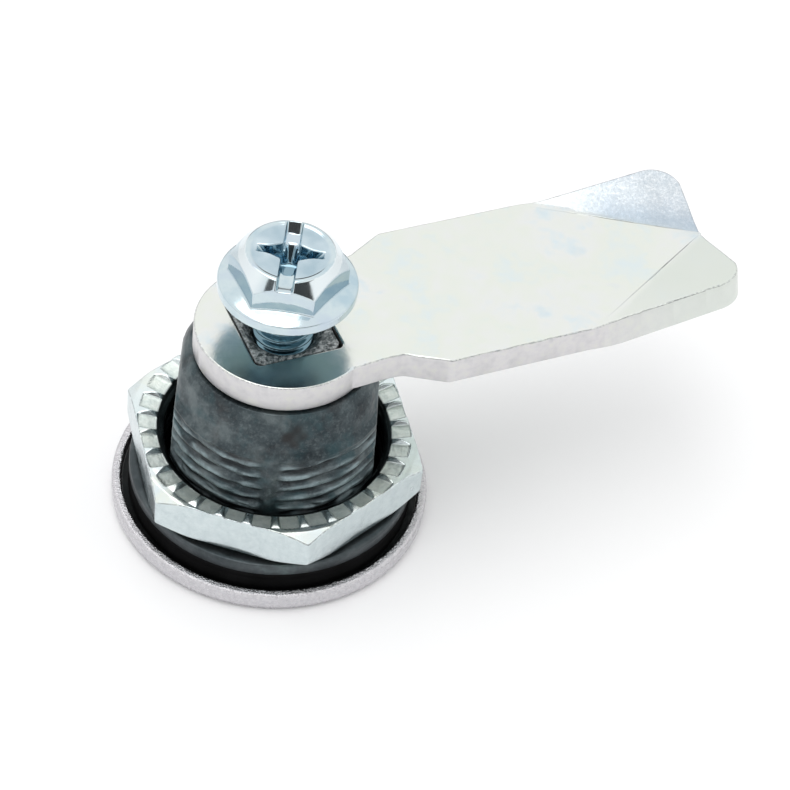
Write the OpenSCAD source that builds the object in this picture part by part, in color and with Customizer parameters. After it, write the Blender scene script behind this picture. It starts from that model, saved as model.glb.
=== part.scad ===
// Quarter-turn cam latch for a sheet-metal door.
// A flanged housing goes through the panel from the front and a hexagon nut clamps it from
// behind. A rotor in the housing's bore is turned by a key and swings a bent steel cam, which
// a flanged screw holds on the rotor's square end.
// Z is the lock axis. The flange's front face lies on z = 0 and the cam end points up.

/* [Flange] */
// Outside diameter of the front flange
flange_d = 32.2; // [31.6:0.1:36]
// Height of the flange's rim
rim_h = 2.2; // [1.9:0.1:2.6]
// Inside diameter of the rim, around the gasket
rim_inner_d = 30.3; // [29.6:0.1:30.6]
// Thickness of the flange under the gasket
flange_t = 1.2; // [1:0.1:1.5]

/* [Barrel] */
// Thread diameter of the barrel
barrel_d = 22; // [21.8:0.1:22.4]
// Width across the barrel's two flats
barrel_flats = 20; // [19.8:0.1:20.6]
// Height of the barrel's rear end
barrel_h = 20.5; // [20.3:0.1:22]
// Height at which the barrel thread ends
thread_top = 16.2; // [15:0.1:17]
// Thread pitch of the barrel and the nut
barrel_pitch = 1.5; // [1.5:0.25:2]

/* [Gasket and washer] */
// Outside diameter of the gasket and the flat washer
seal_d = 28.8; // [27:0.1:29.2]
// Thickness of the rubber gasket
gasket_t = 2.3; // [1.8:0.1:2.6]
// Thickness of the flat washer
washer_t = 1.25; // [0.8:0.05:1.5]

/* [Mounting nut] */
// Width of the nut across its flats
nut_af = 27; // [26.5:0.1:28]
// Thickness of the nut
nut_t = 4.4; // [4:0.1:5]
// Gap between the flat washer and the nut as stored
nut_gap = 0.55; // [0.55:0.05:2]
// Turn of the nut about the lock axis
nut_turn = -14; // [-60:1:60]
// Number of radial serrations on the rear face
serrations = 30; // [24:1:32]

/* [Rotor] */
// Diameter of the rotor's wide front part
rotor_head_d = 16.9; // [16.5:0.1:17.1]
// Diameter of the rotor's shaft
rotor_d = 12.8; // [12.6:0.1:13]
// Width of the square end
square_w = 8.6; // [8.2:0.1:8.7]
// Size of the triangular driver, from one side to the opposite corner
driver_size = 8; // [7:0.5:9]
// Radial running clearance of the rotor in the housing
running_gap = 0.05; // [0.03:0.01:0.08]

/* [Cam] */
// Turn of the cam from its closed position as stored
cam_turn = 24.5; // [2:0.5:88]
// Distance from the lock axis to the middle of the cam's tip
cam_reach = 45.6; // [42:0.1:60]
// Width of the cam's blade
cam_w = 18.9; // [18:0.1:20]
// Thickness of the cam plate
cam_t = 3; // [2.5:0.1:3]
// Diameter of the cam's round head
cam_head_d = 17.4; // [17:0.1:18]
// Width of the cam's square hole
cam_hole = 9; // [8.9:0.1:9.2]
// Upward bend of the two tip corners, in degrees
corner_bend = 14; // [8:1:20]

/* [Cam screw] */
// Thread diameter of the screw
screw_d = 6; // [5.9:0.1:6]
// Length of the screw under its flange
screw_len = 12; // [10:0.5:12]
// Width of the screw head across its flats
screw_af = 10; // [9.5:0.1:10]
// Diameter of the screw's flange
screw_flange_d = 13.5; // [12.5:0.1:14]
// Height of the screw above the cam as stored
screw_gap = 5.05; // [5.05:0.05:6]

/* [Hidden] */
$fn = 96;
// Overlap of a cutter past the face it cuts
cut = 1;

// Heights of the stack on the barrel
gasket_z = flange_t;
washer_z = gasket_z + gasket_t;
nut_z = washer_z + washer_t + nut_gap;
nut_top = nut_z + nut_t;

// Radii of the bores and of what turns in them
head_r = rotor_head_d / 2;
shaft_r = rotor_d / 2;
front_bore_r = head_r + running_gap;
rear_bore_r = shaft_r + running_gap;
spring_seat_r = 8;
barrel_r = barrel_d / 2;
nut_bore_r = barrel_r + running_gap;

// Heights inside the housing
rotor_front_z = 0.3;
rotor_step_z = 11;
bore_step_z = rotor_step_z + 0.2;
spring_seat_z = 16;
shoulder_z = barrel_h + 0.3;
key_recess_r = 7;
key_recess_z = 9.3;
driver_z = 1.3;
stop_lug_angle = 30;
stop_lug_h = 1.5;
swing = 90;

// Cam and screw heights
cam_z = shoulder_z;
cam_top = cam_z + cam_t;
square_top = cam_top - 0.25;
screw_z = cam_top + screw_gap;
screw_pitch = 1;
tapped_floor_z = 11.4;

// Bottoms of the two grooves on the rotor's shaft
oring_groove_r = 5.2;
snap_groove_r = shaft_r - 0.55;

// Points of a circular arc, from angle a0 to a1 about (x, y)
function arc(x, y, r, a0, a1, steps) =
    [for (i = [0:steps]) let (a = a0 + (a1 - a0) * i / steps) [x + r * cos(a), y + r * sin(a)]];

// A plain ring between two heights
module ring(r_out, r_in, z0, z1) {
    difference() {
        translate([0, 0, z0])
            cylinder(r = r_out, h = z1 - z0);
        translate([0, 0, z0 - cut])
            cylinder(r = r_in, h = z1 - z0 + 2 * cut);
    }
}

// Part of a ring that spans an angle, centred on the +X direction
module ring_sector(r_out, r_in, z0, z1, angle) {
    rotate([0, 0, -angle / 2])
        translate([0, 0, z0])
            rotate_extrude(angle = angle)
                translate([r_in, 0])
                    square([r_out - r_in, z1 - z0]);
}

// V-shaped rings that stand for an outside thread, cut into a shaft of radius r
module thread_rings(r, depth, pitch, z0, count) {
    mouth = pitch * 0.4;
    for (i = [0:count - 1])
        translate([0, 0, z0 + i * pitch])
            rotate_extrude()
                polygon([
                    [r + cut, -mouth - 0.3],
                    [r + cut, mouth + 0.3],
                    [r, mouth],
                    [r - depth, 0.08],
                    [r - depth, -0.08],
                    [r, -mouth]
                ]);
}

// The same rings cut outwards from a bore of radius r
module bore_rings(r, depth, pitch, z0, count) {
    mouth = pitch * 0.4;
    for (i = [0:count - 1])
        translate([0, 0, z0 + i * pitch])
            rotate_extrude()
                polygon([
                    [r - cut, -mouth - 0.3],
                    [r, -mouth],
                    [r + depth, -0.08],
                    [r + depth, 0.08],
                    [r, mouth],
                    [r - cut, mouth + 0.3]
                ]);
}

// A hexagon prism with both rims turned down to a cone
module hexagon(af, z0, z1, top_r, bottom_r, corner_r, top_tilt = 30) {
    slope = tan(30);
    top_slope = tan(top_tilt);
    reach = 12;
    intersection() {
        translate([0, 0, z0])
            cylinder(d = af / cos(30), h = z1 - z0, $fn = 6);
        translate([0, 0, z0 - cut])
            cylinder(r = corner_r, h = z1 - z0 + 2 * cut);
        translate([0, 0, z1 - reach * top_slope])
            cylinder(r1 = top_r + reach, r2 = top_r, h = reach * top_slope);
        translate([0, 0, z0])
            cylinder(r1 = bottom_r, r2 = bottom_r + reach, h = reach * slope);
    }
}

// ---- Housing ----

module flange_blank() {
    r = flange_d / 2;
    lip = 0.9;
    rim_r = rim_inner_d / 2;
    rotate_extrude()
        polygon(concat(
            [[front_bore_r - 0.5, 0]],
            arc(r - lip, lip, lip, -90, 0, 8),
            [
                [r - 0.1, rim_h - 0.15],
                [r - 0.25, rim_h],
                [rim_r + 0.15, rim_h],
                [rim_r, rim_h - 0.15],
                [rim_r, flange_t],
                [front_bore_r - 0.5, flange_t]
            ]
        ));
}

module barrel_blank() {
    plain_r = barrel_r - 0.6;
    end_r = spring_seat_r + 1;
    intersection() {
        rotate_extrude()
            polygon([
                [rear_bore_r - 1, flange_t / 2],
                [barrel_r, flange_t / 2],
                [barrel_r, thread_top],
                [plain_r, thread_top + 0.6],
                [plain_r - 0.35, barrel_h - 2.2],
                [plain_r - 0.65, barrel_h - 1.2],
                [end_r + 0.35, barrel_h - 0.5],
                [end_r, barrel_h],
                [rear_bore_r - 1, barrel_h]
            ]);
        translate([-barrel_flats / 2, -barrel_d, 0])
            cube([barrel_flats, 2 * barrel_d, barrel_h + cut]);
    }
}

module housing_bore() {
    mouth = 0.4;
    rotate_extrude()
        polygon([
            [0, -cut],
            [front_bore_r + mouth + cut, -cut],
            [front_bore_r + mouth, 0],
            [front_bore_r, mouth],
            [front_bore_r, bore_step_z],
            [rear_bore_r, bore_step_z],
            [rear_bore_r, spring_seat_z],
            [spring_seat_r, spring_seat_z],
            [spring_seat_r, barrel_h + cut],
            [0, barrel_h + cut]
        ]);
}

// Pocket in the bore's step in which the rotor's lug runs from stop to stop
module stop_pocket() {
    rotate([0, 0, swing / 2])
        ring_sector(8.2, rear_bore_r - 0.5, bore_step_z - cut, bore_step_z + stop_lug_h + 0.1,
            swing + stop_lug_angle + 1);
}

module housing() {
    thread_z = nut_z - 0.4;
    turns = floor((thread_top - thread_z) / barrel_pitch);
    color("silver")
    difference() {
        union() {
            flange_blank();
            barrel_blank();
        }
        housing_bore();
        stop_pocket();
        thread_rings(barrel_r, 0.45, barrel_pitch, thread_z, turns);
    }
}

// ---- Gasket, washer and nut ----

module gasket() {
    color("dimgray")
    ring(seal_d / 2, barrel_r + 0.15, gasket_z, washer_z);
}

module flat_washer() {
    edge = 0.15;
    r = seal_d / 2;
    inner_r = barrel_r + 0.25;
    color("slategray")
    rotate_extrude()
        polygon([
            [inner_r, washer_z],
            [r - edge, washer_z],
            [r, washer_z + edge],
            [r, washer_z + washer_t - edge],
            [r - edge, washer_z + washer_t],
            [inner_r, washer_z + washer_t]
        ]);
}

// One radial serration: a flat-floored groove that runs out upwards and outwards
module serration() {
    floor_w = 0.95;
    flare = 1.1;
    rise = 17;
    run_out_r = nut_af / 2 + 0.35;
    translate([run_out_r, 0, nut_top])
        rotate([90, 0, -90])
            rotate([rise, 0, 0])
                linear_extrude(height = 4.5)
                    polygon([
                        [-floor_w, 0],
                        [floor_w, 0],
                        [floor_w + flare * 2, 2],
                        [-floor_w - flare * 2, 2]
                    ]);
}

module mounting_nut() {
    lead_in = 1.25;
    corner_r = nut_af / sqrt(3) - 0.2;
    turns = floor((nut_t - lead_in - 1) / barrel_pitch) + 1;
    color("gainsboro")
    rotate([0, 0, nut_turn])
        difference() {
            hexagon(nut_af, nut_z, nut_top, corner_r - 1.05, corner_r - 1.4, corner_r);
            translate([0, 0, nut_z - cut])
                cylinder(r = nut_bore_r, h = nut_t + 2 * cut);
            translate([0, 0, nut_top - lead_in])
                cylinder(r1 = nut_bore_r, r2 = nut_bore_r + 2 * lead_in, h = 2 * lead_in);
            translate([0, 0, nut_z - lead_in])
                cylinder(r1 = nut_bore_r + 1.5 * lead_in, r2 = nut_bore_r, h = 1.5 * lead_in);
            bore_rings(nut_bore_r, 0.45, barrel_pitch, nut_z + 1.2, turns);
            for (i = [0:serrations - 1])
                rotate([0, 0, 360 / serrations * (i + 0.5)])
                    serration();
        }
}

// ---- Rotor and the parts on its shaft ----

module rotor_blank() {
    edge = 0.4;
    rotate_extrude()
        polygon([
            [0, rotor_front_z],
            [head_r - edge, rotor_front_z],
            [head_r, rotor_front_z + edge],
            [head_r, rotor_step_z],
            [shaft_r, rotor_step_z],
            [shaft_r, shoulder_z],
            [0, shoulder_z]
        ]);
    intersection() {
        translate([-square_w / 2, -square_w / 2, shoulder_z - cut])
            cube([square_w, square_w, square_top - shoulder_z + cut]);
        translate([0, 0, shoulder_z - 2 * cut])
            cylinder(r = square_w * 0.66, h = cam_t + 4 * cut);
    }
}

module stop_lug() {
    ring_sector(8.1, shaft_r - 0.5, rotor_step_z - 0.5, rotor_step_z + stop_lug_h, stop_lug_angle);
}

// Recess for the key, with the triangular driver left standing in it
module key_recess() {
    difference() {
        translate([0, 0, rotor_front_z - cut])
            cylinder(r = key_recess_r, h = key_recess_z - rotor_front_z + cut);
        translate([0, 0, driver_z])
            cylinder(r = driver_size * 2 / 3, h = key_recess_z, $fn = 3);
    }
}

// Tapped hole for the cam screw, countersunk at the mouth
module tapped_hole() {
    r = screw_d / 2 + running_gap;
    mouth = 0.9;
    translate([0, 0, tapped_floor_z])
        cylinder(r = r, h = square_top - tapped_floor_z + cut);
    translate([0, 0, square_top - mouth])
        cylinder(r1 = r, r2 = r + 2 * mouth, h = 2 * mouth);
}

module rotor() {
    color("darkgray")
    rotate([0, 0, cam_turn])
        difference() {
            union() {
                rotor_blank();
                stop_lug();
            }
            key_recess();
            tapped_hole();
            ring(shaft_r + cut, oring_groove_r, 13, 14.7);
            ring(shaft_r + cut, snap_groove_r, 17.65, 18.75);
        }
}

module rotor_oring() {
    wire_r = 0.61;
    color("black")
    translate([0, 0, 13.85])
        rotate_extrude()
            translate([rear_bore_r - 0.02 - wire_r, 0])
                circle(r = wire_r);
}

module disc_spring() {
    t = 0.35;
    rise = 0.5;
    outer_r = spring_seat_r - 0.15;
    inner_r = shaft_r + 0.25;
    color("lightsteelblue")
    rotate_extrude()
        polygon([
            [outer_r, spring_seat_z + 0.03],
            [outer_r, spring_seat_z + 0.03 + t],
            [inner_r, spring_seat_z + 0.03 + t + rise],
            [inner_r, spring_seat_z + 0.03 + rise]
        ]);
}

module thrust_washer() {
    color("lightgray")
    ring(spring_seat_r - 0.25, shaft_r + 0.1, 17, 17.6);
}

// Open round-wire ring in the groove near the end of the shaft
module snap_ring() {
    wire_r = 0.5;
    opening = 30;
    color("gray")
    rotate([0, 0, cam_turn + opening / 2])
        translate([0, 0, 18.2])
            rotate_extrude(angle = 360 - opening)
                translate([snap_groove_r + 0.02 + wire_r, 0])
                    circle(r = wire_r);
}

// ---- Cam ----

neck_r = 6;
neck_x = 9.6;
neck_w = 7.15;
shoulder_x = 13.6;
tip_r = 3.2;
// How much further the tip's corners reach than its middle
tip_flare = 0.7;

// Half of the cam's outline on its +Y side, from the head round to the tip
function cam_half() = concat(
    arc(0, 0, cam_head_d / 2, 180, 58, 28),
    [
        [neck_x - 1.6, neck_w + 0.1],
        [neck_x, neck_w + 0.12],
        [neck_x + 0.7, neck_w + 0.4],
        [shoulder_x, cam_w / 2]
    ],
    arc(cam_reach + tip_flare - tip_r, cam_w / 2 - tip_r, tip_r, 90, 6, 10)
);

function mirrored(points) =
    [for (i = [len(points) - 1:-1:1]) [points[i][0], -points[i][1]]];

function cam_outline() = concat(cam_half(), [[cam_reach, 0]], mirrored(cam_half()));

module cam_plate() {
    linear_extrude(height = cam_t)
        polygon(cam_outline());
}

// Each fold starts at the middle of the tip and runs back to the blade's edge
fold_back = 16.7;
fold_angle = 180 - atan2(cam_w / 2, fold_back);

// Everything on the outer side of the fold towards +Y
module beyond_fold() {
    rotate([0, 0, fold_angle])
        translate([-20, -40, -cut])
            cube([80, 40, cam_t + 2 * cut]);
}

module flat_part() {
    difference() {
        cam_plate();
        translate([cam_reach, 0, 0])
            beyond_fold();
        mirror([0, 1, 0])
            translate([cam_reach, 0, 0])
                beyond_fold();
    }
}

module bent_corner() {
    translate([cam_reach, 0, 0])
        rotate([0, 0, fold_angle])
            rotate([-corner_bend, 0, 0])
                rotate([0, 0, -fold_angle])
                    intersection() {
                        translate([-cam_reach, 0, 0])
                            cam_plate();
                        beyond_fold();
                    }
}

module square_hole() {
    intersection() {
        translate([-cam_hole / 2, -cam_hole / 2, -cut])
            cube([cam_hole, cam_hole, cam_t + 2 * cut]);
        translate([0, 0, -2 * cut])
            cylinder(r = cam_hole * 0.655, h = cam_t + 4 * cut);
    }
}

module cam() {
    color("lightgray")
    translate([0, 0, cam_z])
        rotate([0, 0, cam_turn])
            difference() {
                union() {
                    flat_part();
                    bent_corner();
                    mirror([0, 1, 0])
                        bent_corner();
                }
                square_hole();
            }
}

// ---- Cam screw ----

screw_turn = -3;
washer_face_t = 0.85;
head_h = 4.65;

module screw_head() {
    top_r = 4.15;
    flange_r = screw_flange_d / 2;
    rotate_extrude()
        polygon([
            [0, screw_z],
            [flange_r - 0.1, screw_z],
            [flange_r, screw_z + 0.1],
            [flange_r, screw_z + washer_face_t - 0.1],
            [flange_r - 0.1, screw_z + washer_face_t],
            [screw_af / 2 + 0.1, screw_z + 1.35],
            [0, screw_z + 1.35]
        ]);
    hexagon(screw_af, screw_z + 0.4, screw_z + head_h, top_r, screw_af, screw_af, 45);
}

module screw_shank() {
    r = screw_d / 2;
    difference() {
        rotate_extrude()
            polygon([
                [0, screw_z - screw_len],
                [r - 0.7, screw_z - screw_len],
                [r, screw_z - screw_len + 0.7],
                [r, screw_z + 0.2],
                [0, screw_z + 0.2]
            ]);
        thread_rings(r, 0.5, screw_pitch, screw_z - screw_len + 1.4, screw_len - 2);
    }
}

// Cross recess with one arm opened out to a full slot
module driver_slots() {
    depth = 2.3;
    top = screw_z + head_h;
    translate([-0.75, -screw_af, top - 1.1])
        cube([1.5, 2 * screw_af, 2]);
    translate([-3.25, -0.6, top - 1.5])
        cube([6.5, 1.2, 3]);
    translate([-1.3, -1.3, top - depth])
        cube([2.6, 2.6, depth + cut]);
}

module cam_screw() {
    color("lightblue")
    rotate([0, 0, screw_turn])
        difference() {
            union() {
                screw_head();
                screw_shank();
            }
            driver_slots();
        }
}

housing();
gasket();
flat_washer();
mounting_nut();
rotor();
rotor_oring();
disc_spring();
thrust_washer();
snap_ring();
cam();
cam_screw();
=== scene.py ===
import math
import bmesh
import bpy
import numpy as np
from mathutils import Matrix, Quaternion, Vector


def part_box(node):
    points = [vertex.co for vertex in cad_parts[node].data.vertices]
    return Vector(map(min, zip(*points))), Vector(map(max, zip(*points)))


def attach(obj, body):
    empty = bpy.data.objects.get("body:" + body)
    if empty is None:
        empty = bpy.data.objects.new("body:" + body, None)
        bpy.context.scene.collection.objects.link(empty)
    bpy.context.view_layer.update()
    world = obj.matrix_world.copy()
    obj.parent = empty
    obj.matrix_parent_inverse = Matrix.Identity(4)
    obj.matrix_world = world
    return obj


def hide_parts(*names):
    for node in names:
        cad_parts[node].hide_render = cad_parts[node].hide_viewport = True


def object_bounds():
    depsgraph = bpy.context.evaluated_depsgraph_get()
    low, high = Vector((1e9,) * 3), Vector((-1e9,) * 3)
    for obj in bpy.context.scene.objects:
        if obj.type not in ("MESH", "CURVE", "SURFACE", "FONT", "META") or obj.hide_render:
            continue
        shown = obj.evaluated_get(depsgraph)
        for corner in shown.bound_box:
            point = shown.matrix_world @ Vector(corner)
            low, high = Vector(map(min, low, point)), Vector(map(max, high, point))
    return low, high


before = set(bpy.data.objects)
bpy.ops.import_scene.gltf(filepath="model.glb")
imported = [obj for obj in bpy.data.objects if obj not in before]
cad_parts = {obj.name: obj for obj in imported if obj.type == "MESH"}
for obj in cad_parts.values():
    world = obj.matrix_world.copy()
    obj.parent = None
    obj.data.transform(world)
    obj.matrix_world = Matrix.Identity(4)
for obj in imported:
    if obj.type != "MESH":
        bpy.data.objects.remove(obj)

MM = 0.001
cad_low, cad_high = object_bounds()
scene = bpy.context.scene


def height(node_name, end):
    """Lowest (end 0) or highest (end 1) point of a CAD node, in millimetres."""
    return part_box(node_name)[end].z / MM


# ---------- mesh helpers: every length below is in millimetres ----------

def new_piece(name, verts, faces, body, stands_for):
    mesh = bpy.data.meshes.new(name)
    mesh.from_pydata((np.asarray(verts, float) * MM).tolist(), [], faces)
    mesh.validate()
    mesh.shade_smooth()
    return place(bpy.data.objects.new(name, mesh), body, stands_for)


def place(o, body, stands_for):
    scene.collection.objects.link(o)
    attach(o, body)
    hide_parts(stands_for)
    return o


def mark(o, key, value):
    """Keeps one number for each point of the mesh, which its finish reads by name."""
    layer = o.data.attributes.new(key, "FLOAT", "POINT")
    layer.data.foreach_set("value", np.asarray(value, np.float32).ravel())


def ring_faces(rows, columns):
    """Quads of a closed grid whose rows and columns both wrap round."""
    i, j = np.meshgrid(np.arange(rows), np.arange(columns), indexing="ij")
    i2, j2 = (i + 1) % rows, (j + 1) % columns
    quads = np.stack([i * columns + j, i * columns + j2, i2 * columns + j2, i2 * columns + j], -1)
    return quads.reshape(-1, 4).tolist()


def polar(r, angle, z):
    return np.stack([r * np.cos(angle), r * np.sin(angle), z], -1).reshape(-1, 3)


def soft_min(a, b, k):
    h = np.clip(0.5 + 0.5 * (b - a) / k, 0, 1)
    return b + (a - b) * h - k * h * (1 - h)


def soft_max(a, b, k):
    return -soft_min(-a, -b, k)


def ease(x, start, end):
    t = np.clip((x - start) / (end - start), 0, 1)
    return t * t * (3 - 2 * t)


def waves(seed, u, v, terms, finest):
    """Smooth random surface of about unit height, made of sines that join up round a turn."""
    rng = np.random.default_rng(seed)
    steepest = finest * v * 0.12
    total = 0
    for _ in range(terms):
        turns = rng.integers(1, finest)
        total = total + np.sin(turns * u + rng.uniform(-1, 1) * steepest + rng.uniform(0, 6.28))
    return total / math.sqrt(terms)


def triangle(x):
    """1 in the middle of each whole step and 0 at its ends."""
    return 1 - np.abs((x % 1.0) * 2 - 1)


def fillets(corners, steps=4):
    """A closed outline with its corners rounded; each corner is (r, z, radius)."""
    out = []
    for i, (x, y, radius) in enumerate(corners):
        p = np.array([x, y])
        a = np.array(corners[i - 1][:2]) - p
        b = np.array(corners[(i + 1) % len(corners)][:2]) - p
        if radius <= 0:
            out.append(p)
            continue
        a, b = a / np.linalg.norm(a), b / np.linalg.norm(b)
        half = math.acos(np.clip(a @ b, -1, 1)) / 2
        reach = radius / math.tan(half)
        centre = p + (a + b) / np.linalg.norm(a + b) * radius / math.sin(half)
        start, end = p + a * reach - centre, p + b * reach - centre
        for s in np.linspace(0, 1, steps + 1):
            d = start * (1 - s) + end * s
            out.append(centre + d / np.linalg.norm(d) * radius)
    return out


def dense(points, step, fine_step=None, fine=None):
    """The same closed outline with no gap over a step; fine(p) says where fine_step holds."""
    out = []
    for i, p in enumerate(points):
        q = points[(i + 1) % len(points)]
        gap = fine_step if fine and fine(p) and fine(q) else step
        n = max(1, math.ceil(np.linalg.norm(q - p) / gap))
        out += [p + (q - p) * k / n for k in range(n)]
    return np.array(out)


def turned(name, corners, stands_for, wobble):
    """A ring on the housing, turned from a rounded outline, with a slight unevenness."""
    columns = 256
    line = dense(fillets(corners), 0.6)
    angle = np.linspace(0, 2 * math.pi, columns, endpoint=False)[None, :]
    r = line[:, :1] + wobble * waves(7, angle, line[:, 1:], 6, 9)
    z = line[:, 1:] + 0 * angle
    return new_piece(name, polar(r, angle + 0 * r, z), ring_faces(len(line), columns),
                     "housing", stands_for)


def contour(f, low, high, step):
    """Closed quad mesh of the surface f = 0, with its points moved onto the surface itself."""
    axes = [np.arange(low[i] - step, high[i] + 2 * step, step) for i in range(3)]
    x, y, z = np.meshgrid(*axes, indexing="ij", sparse=True)
    value = f(x, y, z)
    inside = value < 0
    shape = np.array(value.shape) - 1
    total, count = np.zeros((*shape, 3)), np.zeros(shape)
    quads = []
    corners = [(a, b, c) for a in (0, 1) for b in (0, 1) for c in (0, 1)]
    for a in corners:
        for b in corners:
            if sum(b) - sum(a) != 1 or any(q < p for p, q in zip(a, b)):
                continue
            sa = tuple(slice(a[i], a[i] + shape[i]) for i in range(3))
            sb = tuple(slice(b[i], b[i] + shape[i]) for i in range(3))
            cross = inside[sa] != inside[sb]
            t = np.where(cross, value[sa] / np.where(cross, value[sa] - value[sb], 1), 0)
            for i in range(3):
                total[..., i] += np.where(cross, a[i] + (b[i] - a[i]) * t, 0)
            count += cross
    cells = np.argwhere(count > 0)
    index = -np.ones(shape, int)
    index[tuple(cells.T)] = np.arange(len(cells))
    spots = total[tuple(cells.T)] / count[tuple(cells.T)][:, None] + cells
    verts = np.array([axes[i][0] + spots[:, i] * step for i in range(3)]).T
    for axis in range(3):
        u, v = [(1, 2), (2, 0), (0, 1)][axis]
        here = [slice(1, shape[i]) for i in range(3)]
        ahead = list(here)
        here[axis], ahead[axis] = slice(0, shape[axis]), slice(1, shape[axis] + 1)
        va, vb = inside[tuple(here)], inside[tuple(ahead)]
        for flip, found in ((False, va & ~vb), (True, ~va & vb)):
            at = np.argwhere(found)
            for i in range(3):
                if i != axis:
                    at[:, i] += 1
            ring = []
            for du, dv in ((-1, -1), (0, -1), (0, 0), (-1, 0)):
                c = at.copy()
                c[:, u] += du
                c[:, v] += dv
                ring.append(index[tuple(c.T)])
            q = np.stack(ring, -1)
            quads.append(q[:, ::-1] if flip else q)

    def gradient(p):
        e = step * 0.2
        d = [(f(*(p + e * k).T) - f(*(p - e * k).T)) / (2 * e) for k in np.eye(3)]
        return np.stack(d, -1)

    for _ in range(3):
        g = gradient(verts)
        size = np.maximum((g * g).sum(1), 0.2)
        move = -(f(*verts.T) / size)[:, None] * g
        verts = verts + np.clip(move, -0.5 * step, 0.5 * step)
    return verts, np.concatenate(quads).tolist(), gradient(verts)


def use_normals(o, normals):
    normals = normals / np.maximum(np.linalg.norm(normals, axis=1), 1e-9)[:, None]
    o.data.normals_split_custom_set_from_vertices(normals.tolist())


# ---------- housing: lathe-turned flange and die-cast barrel ----------

flange_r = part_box("housing")[1].x / MM
rim_z = 2.2
rim_inner_r = 15.15
floor_z = 1.2
end_z = height("housing", 1)
barrel_r = 11.0
bore_r = 8.0
thread_top = 16.2
barrel_pitch = 1.5


def housing():
    columns = 384
    thread_depth, rib_height = 0.50, 0.12
    corners = [
        (8.9, 0, 0.0), (8.5, 0.4, 0.1), (8.5, 11.2, 0.0), (6.5, 11.2, 0.1), (6.5, 16, 0.0),
        (bore_r, 16, 0.1), (bore_r, end_z, 0.15), (9.0, end_z, 0.2), (9.35, end_z - 0.5, 0.3),
        (9.75, end_z - 1.2, 0.6), (10.05, end_z - 2.2, 1.2), (10.4, thread_top + 0.6, 0.25),
        (barrel_r - 0.03, thread_top, 0.15), (barrel_r, 4.55, 0.0), (barrel_r, floor_z, 0.15),
        (rim_inner_r, floor_z, 0.15), (rim_inner_r, rim_z, 0.22), (flange_r - 0.1, rim_z, 0.3),
        (flange_r, 1.75, 0.3), (flange_r, 0, 0.8),
    ]
    line = dense(fillets(corners, 5), 0.7, 0.11, lambda p: 9.3 < p[0] < 11.2 and p[1] > 4.5)
    angle = np.linspace(0, 2 * math.pi, columns, endpoint=False)[None, :] + 0 * line[:, :1]
    r, z = line[:, :1] + 0 * angle, line[:, 1:] + 0 * angle

    # the barrel's outside: helical thread worn soft by casting, two flats, and a parting rib, with
    # the wall sunk beside the rib so that the rib stays inside the nut's bore.
    # Known fault, found too late to put right: on_barrel also takes in the lower bore's wall (r 8.5,
    # up to z 11.2), so above z 4.5 the thread is cut in that wall too, and it runs up to 0.61 mm
    # into the rotor, hidden inside.
    on_barrel = (z > floor_z + 0.1) & (r > bore_r + 0.2) & (r < 11.3)
    threaded = ease(z, 4.6, 5.3) * (1 - ease(z, thread_top - 1.0, thread_top - 0.05)) * on_barrel
    drift = 0.10 * waves(3, angle, z, 9, 11) + 0.06 * waves(4, angle, 3 * z, 9, 30)
    phase = z / barrel_pitch - angle / (2 * math.pi) + drift
    from_parting = np.abs(angle % math.pi - math.pi / 2) * barrel_r
    worn = ease(from_parting, 0.4, 1.6)
    crest = ease(triangle(phase), 0.12, 0.85)
    depth = thread_depth * (0.75 + 0.25 * waves(5, angle, z, 8, 17)) * worn
    rib = rib_height * (1 - ease(from_parting, 0.30, 0.50)) * (1 - 0.7 * ease(z, 15.5, 17.0))
    skin = 0.022 * waves(11, angle, z, 12, 26) + 0.03 * waves(12, angle, z, 8, 8)
    sunk = 0.11 * (1 - ease(from_parting, 0.5, 1.4))
    wall = r - threaded * (depth * (1 - crest) + sunk)
    wall = wall + (rib + skin) * ease(z, floor_z, 5) * ease(r, 9.0, 9.4)
    wall = soft_min(wall, barrel_r + 0.02 + 0 * r, 0.04)
    draft = np.interp(z, [9.7, 15, 18.3, 20.5], [10.1, 9.9, 9.75, 9.4])
    limit = draft / np.maximum(np.abs(np.cos(angle)), 0.2) + 0.014 * waves(13, angle, z, 8, 20)
    r = np.where(on_barrel, soft_min(wall, limit, 0.2), r)

    # the plated rim isn't quite even either
    rim = r > rim_inner_r - 0.2
    r = r + rim * 0.010 * waves(21, angle, z, 10, 40) * ease(z, 1.0, 1.9)
    z = z + rim * 0.012 * waves(22, angle, r, 12, 60) * ease(z, 1.7, 2.1)
    o = new_piece("housing_cast", polar(r, angle, z), ring_faces(len(line), columns),
                  "housing", "housing")
    # how much of the thread stands at each place: 0 at a root, 1 at a crest, no_thread where there is none
    no_thread = 0.4
    patchy = np.clip(0.75 + 0.5 * waves(6, angle, z, 8, 23), 0.1, 1)
    mark(o, "thread", no_thread + threaded * worn * patchy * (crest - no_thread))
    # one dark smudge beside the parting rib
    smudge_angle, smudge_z = math.radians(281), 18.6
    off = np.hypot((angle - smudge_angle) * barrel_r * 0.8, z - smudge_z) + 0.25 * waves(9, angle, z, 8, 40)
    mark(o, "stain", (1 - ease(off, 0.3, 1.5)) * on_barrel * (r > bore_r + 1))
    return o


# ---------- gasket and flat washer ----------

gasket_low, gasket_high = height("gasket", 0), height("gasket", 1)
washer_low, washer_high = height("flat_washer", 0), height("flat_washer", 1)
seal_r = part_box("gasket")[1].x / MM


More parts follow.
